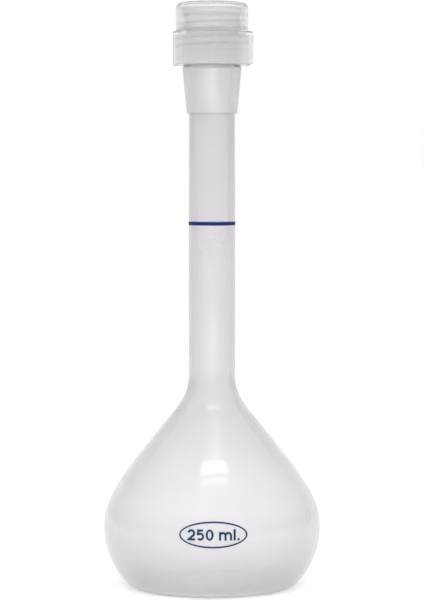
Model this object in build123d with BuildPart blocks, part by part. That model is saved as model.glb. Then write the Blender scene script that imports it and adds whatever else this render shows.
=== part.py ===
from build123d import *
import os
from math import asin, cos, degrees, radians, sin

# Translucent polypropylene volumetric flask, 250 ml to the ring, with a screw cap.
# +Z runs up the neck. The origin is the middle of the face that the flask stands on. Millimetres.

# Bulb and neck, outside: tangent arcs from the standing ring up to the straight neck
total_height = 226.4
belly_radius = 42.0
belly_height = 23.2
base_corner = 6.0
lower_belly = 30.6
upper_belly = 26.8
shoulder = 108.0
shoulder_start = 29.0  # degrees from upright
shoulder_end = 39.0
flare = 19.6
neck_radius = 8.95
wall = 1.16

# Underside, pushed up inside a flat standing ring
standing_width = 3.0
push_up = 1.8

# Mouth: a cuff that widens upwards, then the threaded finish
cuff_height = 182.9
cuff_radius = 9.75
cuff_edge = 0.3
cuff_bore_height = 186.0
mouth_height = 200.6
mouth_radius = 11.45
finish_height = 201.2
finish_radius = 10.8
finish_wall = 1.5
rim_edge = 0.4

# Thread: right-handed, one start, a ridge outside the finish and one inside the cap
pitch = 2.8
ridge_depth = 0.7
ridge_foot = 1.5
ridge_crest = 0.6
ridge_bite = 0.15
ridge_gap = 0.3
ridge_turn = 40.0  # degrees about the neck from +X to where a ridge starts
neck_ridge_start = 206.2
neck_ridge_turns = 4.0
cap_ridge_turns = 3.0

# Cap: a round crown with a domed top over a hollow hexagonal grip
crown_top_radius = 13.9
crown_foot_radius = 14.0
crown_rise = 1.3
crown_flat = 2.0  # radius of the level middle of the dome
crown_edge = 2.2
crown_plate = 3.0
grip_bottom = 201.6
grip_height = 12.5
grip_apothem = 15.3
grip_wall = 0.8
grip_web = 1.3
grip_corner = 0.5
grip_edge = 0.3
grip_turn = 33.0  # degrees, where the closed cap stops

# Liner: a disc pressed between the cap and the rim
liner_thickness = 2.2
liner_play = 0.4
liner_edge = 0.4

# Print: one ring round the neck and one oval mark on the belly
ink = 0.12
ring_height = 140.7
ring_width = 1.35
mark_height = 25.7
mark_side = 0.5  # the mark sits this far to the right of the middle
oval_width = 25.5
oval_height = 9.95
oval_line = 0.6
digit_height = 4.15
digit_width = 2.95
letter_height = 3.2
letter_width = 4.9
stroke = 0.8
text_starts = (-9.7, -6.35, -2.85, 2.1, 7.55, 9.0)  # left edges of 2, 5, 0, m, l and the stop

rim_height = total_height - crown_plate - liner_thickness
plate_height = total_height - crown_plate
ridge_radius = finish_radius + ridge_depth
cap_bore = ridge_radius + ridge_gap
base_sweep = asin((belly_height - base_corner) / (lower_belly - base_corner))
base_radius = belly_radius - lower_belly + (lower_belly - base_corner) * cos(base_sweep)

os.makedirs("parts", exist_ok=True)


def bulb_side(inset):
    """Side of the bulb, from the base corner to the foot of the straight neck, moved in by inset."""
    corner_turn = 90 - degrees(base_sweep)
    slope_angle = radians(shoulder_end)
    flare_step = (flare + inset) * (1 - cos(slope_angle))
    with BuildLine() as side:
        corner = JernArc((base_radius, inset), (1, 0), base_corner - inset, corner_turn)
        lower = JernArc(corner @ 1, corner % 1, lower_belly - inset, degrees(base_sweep))
        upper = JernArc(lower @ 1, lower % 1, upper_belly - inset, shoulder_start)
        crest = JernArc(upper @ 1, upper % 1, shoulder - inset, shoulder_end - shoulder_start)
        slope_length = ((crest @ 1).X - neck_radius + inset - flare_step) / sin(slope_angle)
        slope = Line(crest @ 1, crest @ 1 + (crest % 1) * slope_length)
        JernArc(slope @ 1, slope % 1, flare + inset, -shoulder_end)
    return side.line


def flask_outline(inset):
    """Closed half section of the bulb and the straight neck, moved in by inset."""
    side = bulb_side(inset)
    foot, top = side @ 0, side @ 1
    with BuildSketch() as section:
        with BuildLine():
            add(side)
            Line(top, (top.X, cuff_height))
            Line((top.X, cuff_height), (0, cuff_height))
            Line((0, cuff_height), (0, inset + push_up))
            Line((foot.X - standing_width, inset), foot)
            ThreePointArc(
                (0, inset + push_up),
                ((foot.X - standing_width) / 2, inset + push_up * 0.75),
                (foot.X - standing_width, inset),
            )
        make_face()
    return section.sketch


def ridge(foot_radius, outward, start, turns):
    """Helical thread ridge that stands on foot_radius, outwards (1) or inwards (-1)."""
    root = -outward * ridge_bite
    tip = outward * ridge_depth
    foot = ridge_foot / 2
    crest = ridge_crest / 2
    with BuildPart() as thread:
        with BuildLine():
            path = Helix(pitch, pitch * turns, foot_radius, center=(0, 0, start))
        with BuildSketch(Plane(path @ 0, x_dir=(1, 0, 0), z_dir=path % 0)):
            Polygon((root, -foot), (tip, -crest), (tip, crest), (root, foot), align=None)
        sweep(is_frenet=True)
    return thread.part


# ---- flask body: bulb, neck, cuff and threaded finish, one moulding ----
with BuildPart() as flask_body:
    with BuildSketch(Plane.XZ):
        add(flask_outline(0))
    revolve(axis=Axis.Z)
    with BuildSketch(Plane.XZ):
        Polygon(
            (0, cuff_height),
            (cuff_radius, cuff_height),
            (mouth_radius, mouth_height),
            (finish_radius, finish_height),
            (finish_radius, rim_height),
            (0, rim_height),
            align=None,
        )
    revolve(axis=Axis.Z)
    cuff_edges = flask_body.edges().filter_by(GeomType.CIRCLE).filter_by_position(
        Axis.Z, cuff_height, cuff_height
    )
    fillet(cuff_edges.sort_by(SortBy.RADIUS)[-1], cuff_edge)
    with BuildSketch(Plane.XZ):
        add(flask_outline(wall))
    revolve(axis=Axis.Z, mode=Mode.SUBTRACT)
    with BuildSketch(Plane.XZ):
        Polygon(
            (0, cuff_height),
            (neck_radius - wall, cuff_height),
            (neck_radius - wall, cuff_bore_height),
            (finish_radius - finish_wall, mouth_height),
            (finish_radius - finish_wall, rim_height),
            (0, rim_height),
            align=None,
        )
    revolve(axis=Axis.Z, mode=Mode.SUBTRACT)
    fillet(flask_body.edges().group_by(Axis.Z)[-1], rim_edge)
    neck_ridge = ridge(finish_radius, 1, neck_ridge_start, neck_ridge_turns)
    add(neck_ridge, rotation=(0, 0, ridge_turn))
flask_body.part.label = "flask_body"
export_step(flask_body.part, "parts/flask_body.step")

# ---- screw cap: crown, hollow hexagonal grip and inside thread, one moulding ----
with BuildPart() as grip_block:
    with BuildSketch(Plane.XY.offset(grip_bottom)) as grip:
        RegularPolygon(grip_apothem, 6, major_radius=False, rotation=grip_turn)
        fillet(grip.vertices(), grip_corner)
    extrude(amount=grip_height)
    chamfer(grip_block.edges().group_by(Axis.Z)[-1], grip_edge)
    chamfer(grip_block.edges().group_by(Axis.Z)[0], grip_edge)

with BuildPart() as screw_cap:
    with BuildSketch(Plane.XZ) as crown:
        with BuildLine():
            Polyline(
                (crown_flat, total_height),
                (0, total_height),
                (0, grip_bottom),
                (crown_foot_radius, grip_bottom),
                (crown_top_radius, total_height - crown_rise),
            )
            ThreePointArc(
                (crown_top_radius, total_height - crown_rise),
                (crown_top_radius / 2, total_height - crown_rise / 5),
                (crown_flat, total_height),
            )
        make_face()
        rim = crown.vertices().sort_by_distance((crown_top_radius, total_height - crown_rise))[0]
        fillet(rim, crown_edge)
    revolve(axis=Axis.Z)
    add(grip_block.part)
    with BuildSketch(Plane.XY.offset(grip_bottom)):
        RegularPolygon(grip_apothem - grip_wall, 6, major_radius=False, rotation=grip_turn)
        Circle(crown_foot_radius, mode=Mode.SUBTRACT)
    extrude(amount=grip_height - grip_web, mode=Mode.SUBTRACT)
    with BuildSketch(Plane.XY.offset(grip_bottom)):
        Circle(cap_bore)
    extrude(amount=plate_height - grip_bottom, mode=Mode.SUBTRACT)
    cap_ridge = ridge(cap_bore, -1, neck_ridge_start + pitch / 2, cap_ridge_turns)
    add(cap_ridge, rotation=(0, 0, ridge_turn))
screw_cap.part.label = "screw_cap"
export_step(screw_cap.part, "parts/screw_cap.step")

# ---- sealing liner: the disc between the cap's plate and the rim ----
with BuildPart() as sealing_liner:
    with BuildSketch(Plane.XY.offset(rim_height)):
        Circle(cap_bore - liner_play)
    extrude(amount=liner_thickness)
    chamfer(sealing_liner.edges().filter_by(GeomType.CIRCLE), liner_edge)
sealing_liner.part.label = "sealing_liner"
export_step(sealing_liner.part, "parts/sealing_liner.step")

# ---- graduation ring: ink round the neck at 250 ml ----
with BuildPart() as graduation_ring:
    with BuildSketch(Plane.XY.offset(ring_height - ring_width / 2)):
        Circle(neck_radius + ink)
        Circle(neck_radius, mode=Mode.SUBTRACT)
    extrude(amount=ring_width)
graduation_ring.part.label = "graduation_ring"
export_step(graduation_ring.part, "parts/graduation_ring.step")


# ---- capacity mark: an oval with 250 ml. in it, ink on the belly ----
def digit_two():
    """A 2: a bowl and slope drawn with one stroke, on a foot. Its lower left corner is at the origin."""
    bend = (digit_width - stroke) / 2
    base = stroke / 2
    with BuildSketch() as glyph:
        with BuildLine():
            bowl = CenterArc((digit_width / 2, digit_height - base - bend), bend, 165, -205)
            Line(bowl @ 1, (base * 1.3, base))
        trace(line_width=stroke)
        with Locations((digit_width / 2, base)):
            Rectangle(digit_width, stroke)
    return glyph.sketch


def digit_five():
    """A 5: an open bowl, a stem and a flag. Its lower left corner is at the origin."""
    bend = (digit_width - stroke) / 2
    base = stroke / 2
    flag = digit_width - stroke
    with BuildSketch() as glyph:
        with BuildLine():
            CenterArc((digit_width / 2, base + bend), bend, -140, 275)
        trace(line_width=stroke)
        with BuildLine():
            Line((base * 1.4, digit_height * 0.48), (base * 1.9, digit_height))
        trace(line_width=stroke)
        with Locations((digit_width - base - flag / 2, digit_height - base)):
            Rectangle(flag, stroke)
    return glyph.sketch


def digit_zero():
    """A 0, its lower left corner at the origin."""
    with BuildSketch() as glyph:
        with Locations((digit_width / 2, digit_height / 2)):
            Ellipse(digit_width / 2, digit_height / 2)
            Ellipse(digit_width / 2 - stroke, digit_height / 2 - stroke * 0.9, mode=Mode.SUBTRACT)
    return glyph.sketch


def letter_m():
    """A small m of three stems and two arches, its lower left corner at the origin."""
    gap = (letter_width - stroke) / 2
    spring = letter_height - stroke / 2 - gap / 2
    with BuildSketch() as glyph:
        with Locations((stroke / 2, letter_height / 2)):
            Rectangle(stroke, letter_height)
        for arch in range(2):
            middle = stroke / 2 + gap * (arch + 0.5)
            with BuildLine():
                bend = CenterArc((middle, spring), gap / 2, 170, -170)
                Line(bend @ 1, (middle + gap / 2, 0))
            trace(line_width=stroke)
    return glyph.sketch


def upright_bar(height):
    """An l or, when low, a full stop, its lower left corner at the origin."""
    with BuildSketch() as glyph:
        Rectangle(stroke, height, align=(Align.MIN, Align.MIN))
    return glyph.sketch


with BuildPart() as ink_skin:
    with BuildSketch(Plane.XZ):
        add(flask_outline(-ink))
    revolve(axis=Axis.Z)
    with BuildSketch(Plane.XZ):
        add(flask_outline(0))
    revolve(axis=Axis.Z, mode=Mode.SUBTRACT)

glyphs = (
    digit_two(),
    digit_five(),
    digit_zero(),
    letter_m(),
    upright_bar(digit_height),
    upright_bar(stroke),
)
with BuildPart() as capacity_mark:
    with BuildSketch(Plane.XZ) as mark:
        with Locations((mark_side, mark_height)):
            Ellipse(oval_width / 2, oval_height / 2)
            Ellipse(oval_width / 2 - oval_line, oval_height / 2 - oval_line, mode=Mode.SUBTRACT)
        for glyph, start in zip(glyphs, text_starts):
            with Locations((mark_side + start, mark_height - digit_height / 2)):
                add(glyph)
    extrude(amount=belly_radius + 1)
    add(ink_skin.part, mode=Mode.INTERSECT)
capacity_mark.part.label = "capacity_mark"
export_step(capacity_mark.part, "parts/capacity_mark.step")
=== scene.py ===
"""Looks of the volumetric flask: milky moulded plastic, dark blue print, a foam liner, a white studio."""

import math

import bpy
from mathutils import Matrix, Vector


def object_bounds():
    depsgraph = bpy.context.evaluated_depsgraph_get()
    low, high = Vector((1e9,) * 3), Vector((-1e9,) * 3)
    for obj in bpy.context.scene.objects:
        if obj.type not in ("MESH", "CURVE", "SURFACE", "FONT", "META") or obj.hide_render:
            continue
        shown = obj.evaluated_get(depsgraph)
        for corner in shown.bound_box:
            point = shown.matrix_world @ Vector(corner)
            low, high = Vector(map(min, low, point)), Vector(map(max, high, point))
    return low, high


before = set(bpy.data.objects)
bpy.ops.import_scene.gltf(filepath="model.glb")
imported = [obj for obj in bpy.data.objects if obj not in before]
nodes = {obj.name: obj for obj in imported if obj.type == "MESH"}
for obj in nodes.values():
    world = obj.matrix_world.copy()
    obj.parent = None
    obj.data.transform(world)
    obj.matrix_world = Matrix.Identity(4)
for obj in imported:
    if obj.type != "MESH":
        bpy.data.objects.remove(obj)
cad_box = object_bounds()

# Places that the frame gives, in metres
lowest, highest = cad_box
height = highest.z - lowest.z

# Camera: a little above the ring line, a metre away, with a long lens aimed at the middle of the flask
camera_distance = 1.0
camera_height = 0.165
camera_dip = 3.088  # degrees below level
lens = 155.5

# Thread: the ridge inside the cap climbs one pitch a turn, and its turns show through the wall; dark lines
# of painted shade are laid along them in the cap's colour.
# It starts at ridge_start, ridge_angle degrees round from the X axis. Lengths are in metres.
pitch = 0.0028
ridge_start = 0.2076
ridge_angle = 40
ridge_from = 0.2075
ridge_to = 0.2185
ridge_fade = 0.001
ridge_core = 0.05  # half the width of a ridge's darkest part, as a share of the pitch
ridge_edge = 0.3  # where its shade ends, as a share of the pitch from its middle
crown_radius = 0.0141  # the painted ridge shade lies only inside this radius, not on the hexagonal grip
crown_fade = 0.0003
grip_top = 0.2141
grip_fade = 0.0005
crown_share = 0.3  # the share of its painted shade that a ridge keeps above the grip

# Plastic
depth_tint = (0.55, 0.5, 0.55)
wave_depth = 0.00004
grain_depth = 0.0000015
cloud_depth = 0.03

# Gap that keeps the liner's top and the cap's underside from sharing one plane, in metres
liner_gap = 0.00005

# Light. The room's changes from the sides to the backdrop between two values of a direction's Y,
# and from the walls to the ceiling between two values of its Z.
bulb_middle = Vector((0, 0, 0.06))
backdrop_light = 1.15
side_light = 0.5
wall_change = (0.5, 0.98)
ceiling_light = 0.75
ceiling_change = (0.1, 0.75)
floor_white = 0.8
floor_glow = 0.4
floor_drop = 0.0002


def link(tree, from_socket, to_socket):
    """Joins two sockets."""
    tree.links.new(from_socket, to_socket)


def add(tree, kind, **values):
    """A new node with some of its properties and unlinked inputs set."""
    node = tree.nodes.new(kind)
    for name, value in values.items():
        if name in node.inputs:
            node.inputs[name].default_value = value
        else:
            setattr(node, name, value)
    return node


def new_material(name):
    """An empty material with a Principled shader and an output, and the tree and shader to build on."""
    material = bpy.data.materials.new(name)
    material.use_nodes = True
    tree = material.node_tree
    tree.nodes.clear()
    shader = add(tree, "ShaderNodeBsdfPrincipled")
    output = add(tree, "ShaderNodeOutputMaterial")
    link(tree, shader.outputs["BSDF"], output.inputs["Surface"])
    return material, tree, shader


def noise(tree, scale, detail=2.0):
    """Noise in the object's own metres: scale is the number of cells per metre."""
    where = add(tree, "ShaderNodeTexCoord")
    pattern = add(tree, "ShaderNodeTexNoise")
    pattern.inputs["Scale"].default_value = scale
    pattern.inputs["Detail"].default_value = detail
    link(tree, where.outputs["Object"], pattern.inputs["Vector"])
    return pattern.outputs["Fac"]


def spread(tree, value, low, high):
    """The value from 0.3 to 0.7, where most noise lies, carried to low and high."""
    ranged = add(tree, "ShaderNodeMapRange")
    for name, number in (("From Min", 0.3), ("From Max", 0.7), ("To Min", low), ("To Max", high)):
        ranged.inputs[name].default_value = number
    link(tree, value, ranged.inputs["Value"])
    return ranged.outputs["Result"]


def between(tree, value, first, second):
    """A colour between two, by a value from 0 to 1."""
    ramp = add(tree, "ShaderNodeValToRGB")
    ramp.color_ramp.elements[0].color = (*first, 1)
    ramp.color_ramp.elements[1].color = (*second, 1)
    link(tree, value, ramp.inputs["Fac"])
    return ramp.outputs["Color"]


def bumps(tree, shader, *layers):
    """Bump on the shader's normal from (height value, depth in metres) layers."""
    normal = None
    for value, depth in layers:
        bump = add(tree, "ShaderNodeBump")
        bump.inputs["Strength"].default_value = 1.0
        bump.inputs["Distance"].default_value = depth
        link(tree, value, bump.inputs["Height"])
        if normal:
            link(tree, normal, bump.inputs["Normal"])
        normal = bump.outputs["Normal"]
    link(tree, normal, shader.inputs["Normal"])


def axes_of(tree, space):
    """X, Y and Z in a space: Object is the object's own metres, Generated is a direction in the sky."""
    where = add(tree, "ShaderNodeTexCoord")
    axes = add(tree, "ShaderNodeSeparateXYZ")
    link(tree, where.outputs[space], axes.inputs["Vector"])
    return axes.outputs["X"], axes.outputs["Y"], axes.outputs["Z"]


def math_node(tree, operation, first, second):
    """The result of a sum on two values, each a number or a socket."""
    node = add(tree, "ShaderNodeMath", operation=operation)
    for place, value in enumerate((first, second)):
        if isinstance(value, float):
            node.inputs[place].default_value = value
        else:
            link(tree, value, node.inputs[place])
    return node.outputs["Value"]


def height_ramp(tree, tint_with_painted_shading):
    """A colour by height above the surface the flask stands on, from (height in metres, colour) pairs; it
    carries the painted light and shade.
    """
    up = axes_of(tree, "Object")[2]
    share = math_node(tree, "DIVIDE", up, height)
    ramp = add(tree, "ShaderNodeValToRGB")
    ramp.color_ramp.interpolation = "EASE"
    elements = ramp.color_ramp.elements
    while len(elements) < len(tint_with_painted_shading):
        elements.new(0.5)
    for element, (at, colour) in zip(elements, tint_with_painted_shading):
        element.position = at / height
        element.color = (*colour, 1)
    link(tree, share, ramp.inputs["Fac"])
    return ramp.outputs["Color"]


def dapple(tree, colour, value, depth):
    """The colour made darker by up to depth where value is 1."""
    dark = add(tree, "ShaderNodeMapRange")
    dark.inputs["To Min"].default_value = 1.0
    dark.inputs["To Max"].default_value = 1.0 - depth
    link(tree, value, dark.inputs["Value"])
    mix = add(tree, "ShaderNodeVectorMath", operation="SCALE")
    link(tree, colour, mix.inputs[0])
    link(tree, dark.outputs["Result"], mix.inputs["Scale"])
    return mix.outputs["Vector"]


def smooth_range(tree, value, start, stop, low, high):
    """The value from start to stop, carried smoothly to low (a number or a socket) and high."""
    ranged = add(tree, "ShaderNodeMapRange", interpolation_type="SMOOTHSTEP")
    ranged.inputs["From Min"].default_value = start
    ranged.inputs["From Max"].default_value = stop
    if isinstance(low, float):
        ranged.inputs["To Min"].default_value = low
    else:
        link(tree, low, ranged.inputs["To Min"])
    ranged.inputs["To Max"].default_value = high
    link(tree, value, ranged.inputs["Value"])
    return ranged.outputs["Result"]


def product(tree, *values):
    """All the values multiplied together."""
    total = values[0]
    for value in values[1:]:
        total = math_node(tree, "MULTIPLY", total, value)
    return total


def distance_from_axis(tree, x, y):
    """How far a point is from the upright axis of the flask."""
    flat = add(tree, "ShaderNodeCombineXYZ")
    link(tree, x, flat.inputs["X"])
    link(tree, y, flat.inputs["Y"])
    away = add(tree, "ShaderNodeVectorMath", operation="LENGTH")
    link(tree, flat.outputs["Vector"], away.inputs[0])
    return away.outputs["Value"]


def painted_ridge_shade(tree):
    """Painted shade along the cap's thread: 1 where a turn of the thread ridge backs the wall and makes it
    thicker, 0 between the turns.
    """
    x, y, z = axes_of(tree, "Object")
    turns = math_node(tree, "DIVIDE", math_node(tree, "ARCTAN2", y, x), math.tau)
    climb = math_node(tree, "SUBTRACT", math_node(tree, "DIVIDE", z, pitch), turns)
    since_start = math_node(tree, "SUBTRACT", climb, ridge_start / pitch - ridge_angle / 360)
    from_middle = math_node(tree, "PINGPONG", since_start, 0.5)
    crest = smooth_range(tree, from_middle, ridge_core, ridge_edge, 1.0, 0.0)
    above = smooth_range(tree, z, ridge_from - ridge_fade, ridge_from, 0.0, 1.0)
    below = smooth_range(tree, z, ridge_to, ridge_to + ridge_fade, 1.0, 0.0)
    # The painted shade is full under the grip and weaker above it
    covered = smooth_range(tree, z, grip_top - grip_fade, grip_top, 1.0, crown_share)
    away = distance_from_axis(tree, x, y)
    crown = smooth_range(tree, away, crown_radius, crown_radius + crown_fade, 1.0, 0.0)
    return product(tree, crest, above, below, covered, crown)


def moulded_plastic(name, clear, tint_with_painted_shading, roughness, haze, index, painted_ridge_depth=0.0):
    """Milky polypropylene: lets light through, scatters and takes up some of it, and has a moulded gloss.

    clear is the share of light let through, the colours by height are the plastic's tint with light and
    shade painted in, haze is how fast depth takes up light, index is the refractive index, and the last
    argument is how dark the shade painted along the thread's turns is.
    """
    material, tree, shader = new_material(name)
    clouds = spread(tree, noise(tree, 60, 3), 0, 1)
    grain = noise(tree, 1400, 2)
    waves = noise(tree, 90, 1)
    # The tint with light and shade painted in by height, mottled at random
    colour = dapple(tree, height_ramp(tree, tint_with_painted_shading), clouds, cloud_depth)
    # Dark lines of painted shade along the thread's turns
    if painted_ridge_depth:
        colour = dapple(tree, colour, painted_ridge_shade(tree), painted_ridge_depth)
    link(tree, colour, shader.inputs["Base Color"])
    link(tree, spread(tree, grain, roughness * 0.8, roughness * 1.25), shader.inputs["Roughness"])
    shader.inputs["Transmission Weight"].default_value = clear
    shader.inputs["IOR"].default_value = index
    bumps(tree, shader, (waves, wave_depth), (grain, grain_depth))
    depth = add(tree, "ShaderNodeVolumeAbsorption", Density=haze)
    depth.inputs["Color"].default_value = (*depth_tint, 1)
    output = next(n for n in tree.nodes if n.type == "OUTPUT_MATERIAL")
    link(tree, depth.outputs["Volume"], output.inputs["Volume"])
    return material


def ink(name, dark, light):
    """Dark blue printing ink: slightly uneven cover and a satin surface."""
    material, tree, shader = new_material(name)
    cover = spread(tree, noise(tree, 900, 3), 0, 1)
    link(tree, between(tree, cover, dark, light), shader.inputs["Base Color"])
    link(tree, spread(tree, noise(tree, 2500), 0.42, 0.58), shader.inputs["Roughness"])
    shader.inputs["Specular IOR Level"].default_value = 0.15
    bumps(tree, shader, (noise(tree, 3000), 0.000004))
    return material


def foam(name):
    """White closed-cell foam: fine cells and a matt surface."""
    material, tree, shader = new_material(name)
    cells = noise(tree, 2200, 4)
    colour = between(tree, spread(tree, cells, 0, 1), (0.76, 0.76, 0.78), (0.88, 0.88, 0.9))
    link(tree, colour, shader.inputs["Base Color"])
    link(tree, spread(tree, cells, 0.7, 0.9), shader.inputs["Roughness"])
    bumps(tree, shader, (cells, 0.00005))
    return material


def dress(node_name, material):
    """Gives a CAD node its finished material."""
    for slot in nodes[node_name].material_slots:
        slot.material = material


def draw_in(node_name, depth):
    """Shows a CAD node with its faces drawn in by depth, clear of what it touches. Its own mesh stays."""
    gap = nodes[node_name].modifiers.new("gap", "DISPLACE")
    gap.mid_level = 0.0
    gap.strength = -depth


def place_camera():
    """The camera, in front of the flask and tipped down a little."""
    data = bpy.data.cameras.new("camera")
    data.sensor_fit = "AUTO"
    data.sensor_width = 36.0
    data.lens = lens
    data.clip_start = 0.01
    data.clip_end = 50.0
    camera = bpy.data.objects.new("camera", data)
    bpy.context.scene.collection.objects.link(camera)
    camera.location = (0.0, -camera_distance, camera_height)
    camera.rotation_euler = (math.radians(90 - camera_dip), 0, 0)
    bpy.context.scene.camera = camera


def softbox(name, azimuth, elevation, distance, width, tall, power):
    """A new area light that faces the bulb from an angle round it. Azimuth 0 is the camera's side."""
    data = bpy.data.lights.new(name, "AREA")
    data.shape = "RECTANGLE"
    data.size = width
    data.size_y = tall
    data.energy = power
    light = bpy.data.objects.new(name, data)
    bpy.context.scene.collection.objects.link(light)
    a, e = math.radians(azimuth), math.radians(elevation)
    away = Vector((math.sin(a) * math.cos(e), -math.cos(a) * math.cos(e), math.sin(e)))
    light.location = bulb_middle + away * distance
    light.rotation_mode = "QUATERNION"
    light.rotation_quaternion = away.to_track_quat("Z", "Y")
    return light


def sky(tree):
    """Room light by direction: brightest at the backdrop, dimmer at the sides, and even overhead."""
    y, z = axes_of(tree, "Generated")[1:]
    wall = smooth_range(tree, y, *wall_change, side_light, backdrop_light)
    return smooth_range(tree, z, *ceiling_change, wall, ceiling_light)


def white_room():
    """A world that the camera sees as plain white and that lights the flask as the sky says."""
    world = bpy.data.worlds.new("studio")
    world.use_nodes = True
    bpy.context.scene.world = world
    tree = world.node_tree
    tree.nodes.clear()
    path = add(tree, "ShaderNodeLightPath")
    seen = add(tree, "ShaderNodeBackground")
    room = add(tree, "ShaderNodeBackground")
    link(tree, sky(tree), room.inputs["Strength"])
    for white in (seen, room):
        white.inputs["Color"].default_value = (1, 1, 1, 1)
    mix = add(tree, "ShaderNodeMixShader")
    output = add(tree, "ShaderNodeOutputWorld")
    link(tree, path.outputs["Is Camera Ray"], mix.inputs["Fac"])
    link(tree, room.outputs["Background"], mix.inputs[1])
    link(tree, seen.outputs["Background"], mix.inputs[2])
    link(tree, mix.outputs["Shader"], output.inputs["Surface"])


def lamps():
    """A soft fill from the front that shows in no reflection, and two slim softboxes high up that do."""
    fill = softbox("front_fill", azimuth=0, elevation=12, distance=1.5, width=1.0, tall=1.0, power=27.0)
    fill.visible_glossy = False
    fill.visible_transmission = False
    softbox("key_softbox", azimuth=6, elevation=66.8, distance=1.0, width=0.47, tall=0.105, power=0.66)
    softbox("strip", azimuth=6, elevation=60, distance=1.0, width=0.47, tall=0.04, power=0.2)


def pale_floor():
    """A plain pale floor with a faint glow of its own, just under the flask."""
    bpy.ops.mesh.primitive_plane_add(size=60, location=(0, 0, lowest.z - floor_drop))
    floor = bpy.context.object
    floor.name = "floor"
    material, tree, shader = new_material("floor_white")
    shader.inputs["Base Color"].default_value = (floor_white, floor_white, floor_white, 1)
    shader.inputs["Roughness"].default_value = 0.6
    shader.inputs["Specular IOR Level"].default_value = 0.2
    shader.inputs["Emission Color"].default_value = (1, 1, 1, 1)
    shader.inputs["Emission Strength"].default_value = floor_glow
    floor.data.materials.append(material)


def settings():
    """The plain view transform, and enough bounces for light to get through all the milky walls."""
    scene = bpy.context.scene
    scene.view_settings.view_transform = "Standard"
    scene.cycles.max_bounces = 32
    scene.cycles.transmission_bounces = 32
    scene.cycles.transparent_max_bounces = 32
    scene.cycles.glossy_bounces = 12
    scene.cycles.diffuse_bounces = 8
    scene.cycles.caustics_reflective = True
    scene.cycles.caustics_refractive = True


# The flask's tint by height in metres, with light and shade painted in: painted shade greys it at the heel
# and up the neck, painted light makes it palest low in the bulb, and it is pale again inside the cap
flask_tint_with_painted_shading = (
    (0.0, (0.81, 0.795, 0.81)),
    (0.035, (1.0, 0.985, 1.0)),
    (0.09, (0.86, 0.845, 0.865)),
    (0.2, (0.8, 0.785, 0.805)),
    (0.202, (0.96, 0.945, 0.96)),
)
dress(
    "flask_body",
    moulded_plastic("flask_plastic", clear=0.72, tint_with_painted_shading=flask_tint_with_painted_shading, roughness=0.09, haze=60, index=1.49),
)

# The cap's tint by height, with light and shade painted in: paler above the grip, a painted dark band at
# the underside of its solid top, a painted light band just above it where the liner lies, and darker at the
# very top
cap_tint_with_painted_shading = (
    (0.2, (0.92, 0.91, 0.92)),
    (0.213, (0.92, 0.91, 0.92)),
    (0.2155, (0.96, 0.95, 0.96)),
    (0.2195, (0.96, 0.95, 0.96)),
    (0.2203, (0.84, 0.83, 0.84)),
    (0.2216, (0.93, 0.92, 0.93)),
    (0.2235, (0.84, 0.83, 0.84)),
)
dress(
    "screw_cap",
    moulded_plastic(
        "cap_plastic", clear=0.76, tint_with_painted_shading=cap_tint_with_painted_shading, roughness=0.06, haze=4, index=1.38, painted_ridge_depth=0.45
    ),
)

dress("sealing_liner", foam("liner_foam"))
draw_in("sealing_liner", liner_gap)

dress("graduation_ring", ink("ring_ink", (0.002, 0.01, 0.065), (0.004, 0.017, 0.1)))
dress("capacity_mark", ink("mark_ink", (0.002, 0.016, 0.05), (0.004, 0.025, 0.075)))

place_camera()
white_room()
lamps()
pale_floor()
settings()
